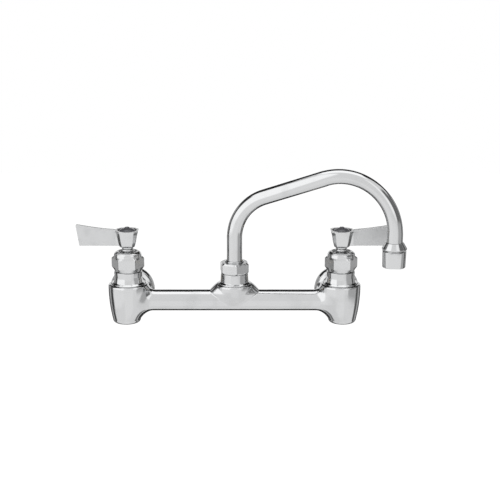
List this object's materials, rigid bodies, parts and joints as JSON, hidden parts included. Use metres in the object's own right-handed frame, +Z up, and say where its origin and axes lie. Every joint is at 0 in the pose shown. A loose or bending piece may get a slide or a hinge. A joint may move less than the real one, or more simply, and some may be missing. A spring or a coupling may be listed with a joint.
{
  "type": "wall faucet",
  "caption": "Wall-mounted mixing faucet: cast body, lever-handled compression valves, swivelling gooseneck spout with aerator, and flanged threaded inlets.",
  "frame": {"origin": "on the wall's face, midway between the two supply inlets", "axes": "+X to the right along the body as the user sees it, +Y into the wall, +Z up"},
  "size_m": [0.3075, 0.126, 0.1563],
  "materials": {
    "polished_chrome": "polished chrome plate on cast and turned brass",
    "plated_stem": "thin satin chrome plate on turned brass",
    "bare_brass": "turned brass, unplated",
    "stainless_steel": "turned stainless steel",
    "rubber": "black moulded rubber",
    "fibre": "graphited fibre",
    "nylon": "natural moulded nylon",
    "index_plastic": "glossy moulded plastic"
  },
  "bodies": {
    "body": {"valve_body": "polished_chrome", "swivel_adapter": "polished_chrome", "spout_nut": "polished_chrome", "adapter_gasket": "fibre", "left_wall_flange": "polished_chrome", "left_wall_gasket": "rubber", "left_inlet_shank": "bare_brass", "left_back_washer": "stainless_steel", "left_locknut": "bare_brass", "left_valve_seat": "stainless_steel", "left_bonnet_gasket": "fibre", "left_bonnet": "polished_chrome", "left_packing": "fibre", "left_gland": "bare_brass", "left_packing_nut": "polished_chrome", "right_wall_flange": "polished_chrome", "right_wall_gasket": "rubber", "right_inlet_shank": "bare_brass", "right_back_washer": "stainless_steel", "right_locknut": "bare_brass", "right_valve_seat": "stainless_steel", "right_bonnet_gasket": "fibre", "right_bonnet": "polished_chrome", "right_packing": "fibre", "right_gland": "bare_brass", "right_packing_nut": "polished_chrome"},
    "spout": {"spout_tube": "polished_chrome", "spout_ferrule": "polished_chrome", "lower_o_ring": "rubber", "upper_o_ring": "rubber", "swivel_bearing": "nylon", "outlet_nozzle": "polished_chrome", "aerator_shell": "polished_chrome", "aerator_insert": "nylon", "outlet_washer": "rubber"},
    "left_washer": {"left_seat_washer": "rubber", "left_washer_screw": "bare_brass", "left_washer_holder": "bare_brass"},
    "left_handle": {"left_stem": "plated_stem", "left_lever_handle": "polished_chrome", "left_handle_screw": "stainless_steel", "left_index_button": "index_plastic"},
    "right_washer": {"right_seat_washer": "rubber", "right_washer_screw": "bare_brass", "right_washer_holder": "bare_brass"},
    "right_handle": {"right_stem": "plated_stem", "right_lever_handle": "polished_chrome", "right_handle_screw": "stainless_steel", "right_index_button": "index_plastic"}
  },
  "joints": [
    {"name": "spout_swing", "type": "hinge", "parent": "body", "child": "spout", "pos_m": [0, -0.0445, 0], "axis": [0, 0, 1], "range_deg": [-156.2, 9.8]},
    {"name": "left_lift", "type": "slide", "parent": "body", "child": "left_washer", "axis": [0, 0, 1], "range_m": [0, 0.0025]},
    {"name": "left_turn", "type": "hinge", "parent": "left_washer", "child": "left_handle", "pos_m": [-0.1016, -0.0445, 0], "axis": [0, 0, 1], "range_deg": [0, 90]},
    {"name": "right_lift", "type": "slide", "parent": "body", "child": "right_washer", "axis": [0, 0, 1], "range_m": [0, 0.0025]},
    {"name": "right_turn", "type": "hinge", "parent": "right_washer", "child": "right_handle", "pos_m": [0.1016, -0.0445, 0], "axis": [0, 0, 1], "range_deg": [-90, 0]}
  ],
  "couplings": [
    {"joint": "left_turn", "follows": "left_lift", "rad_per_m": 628.32},
    {"joint": "right_turn", "follows": "right_lift", "rad_per_m": -628.32}
  ]
}
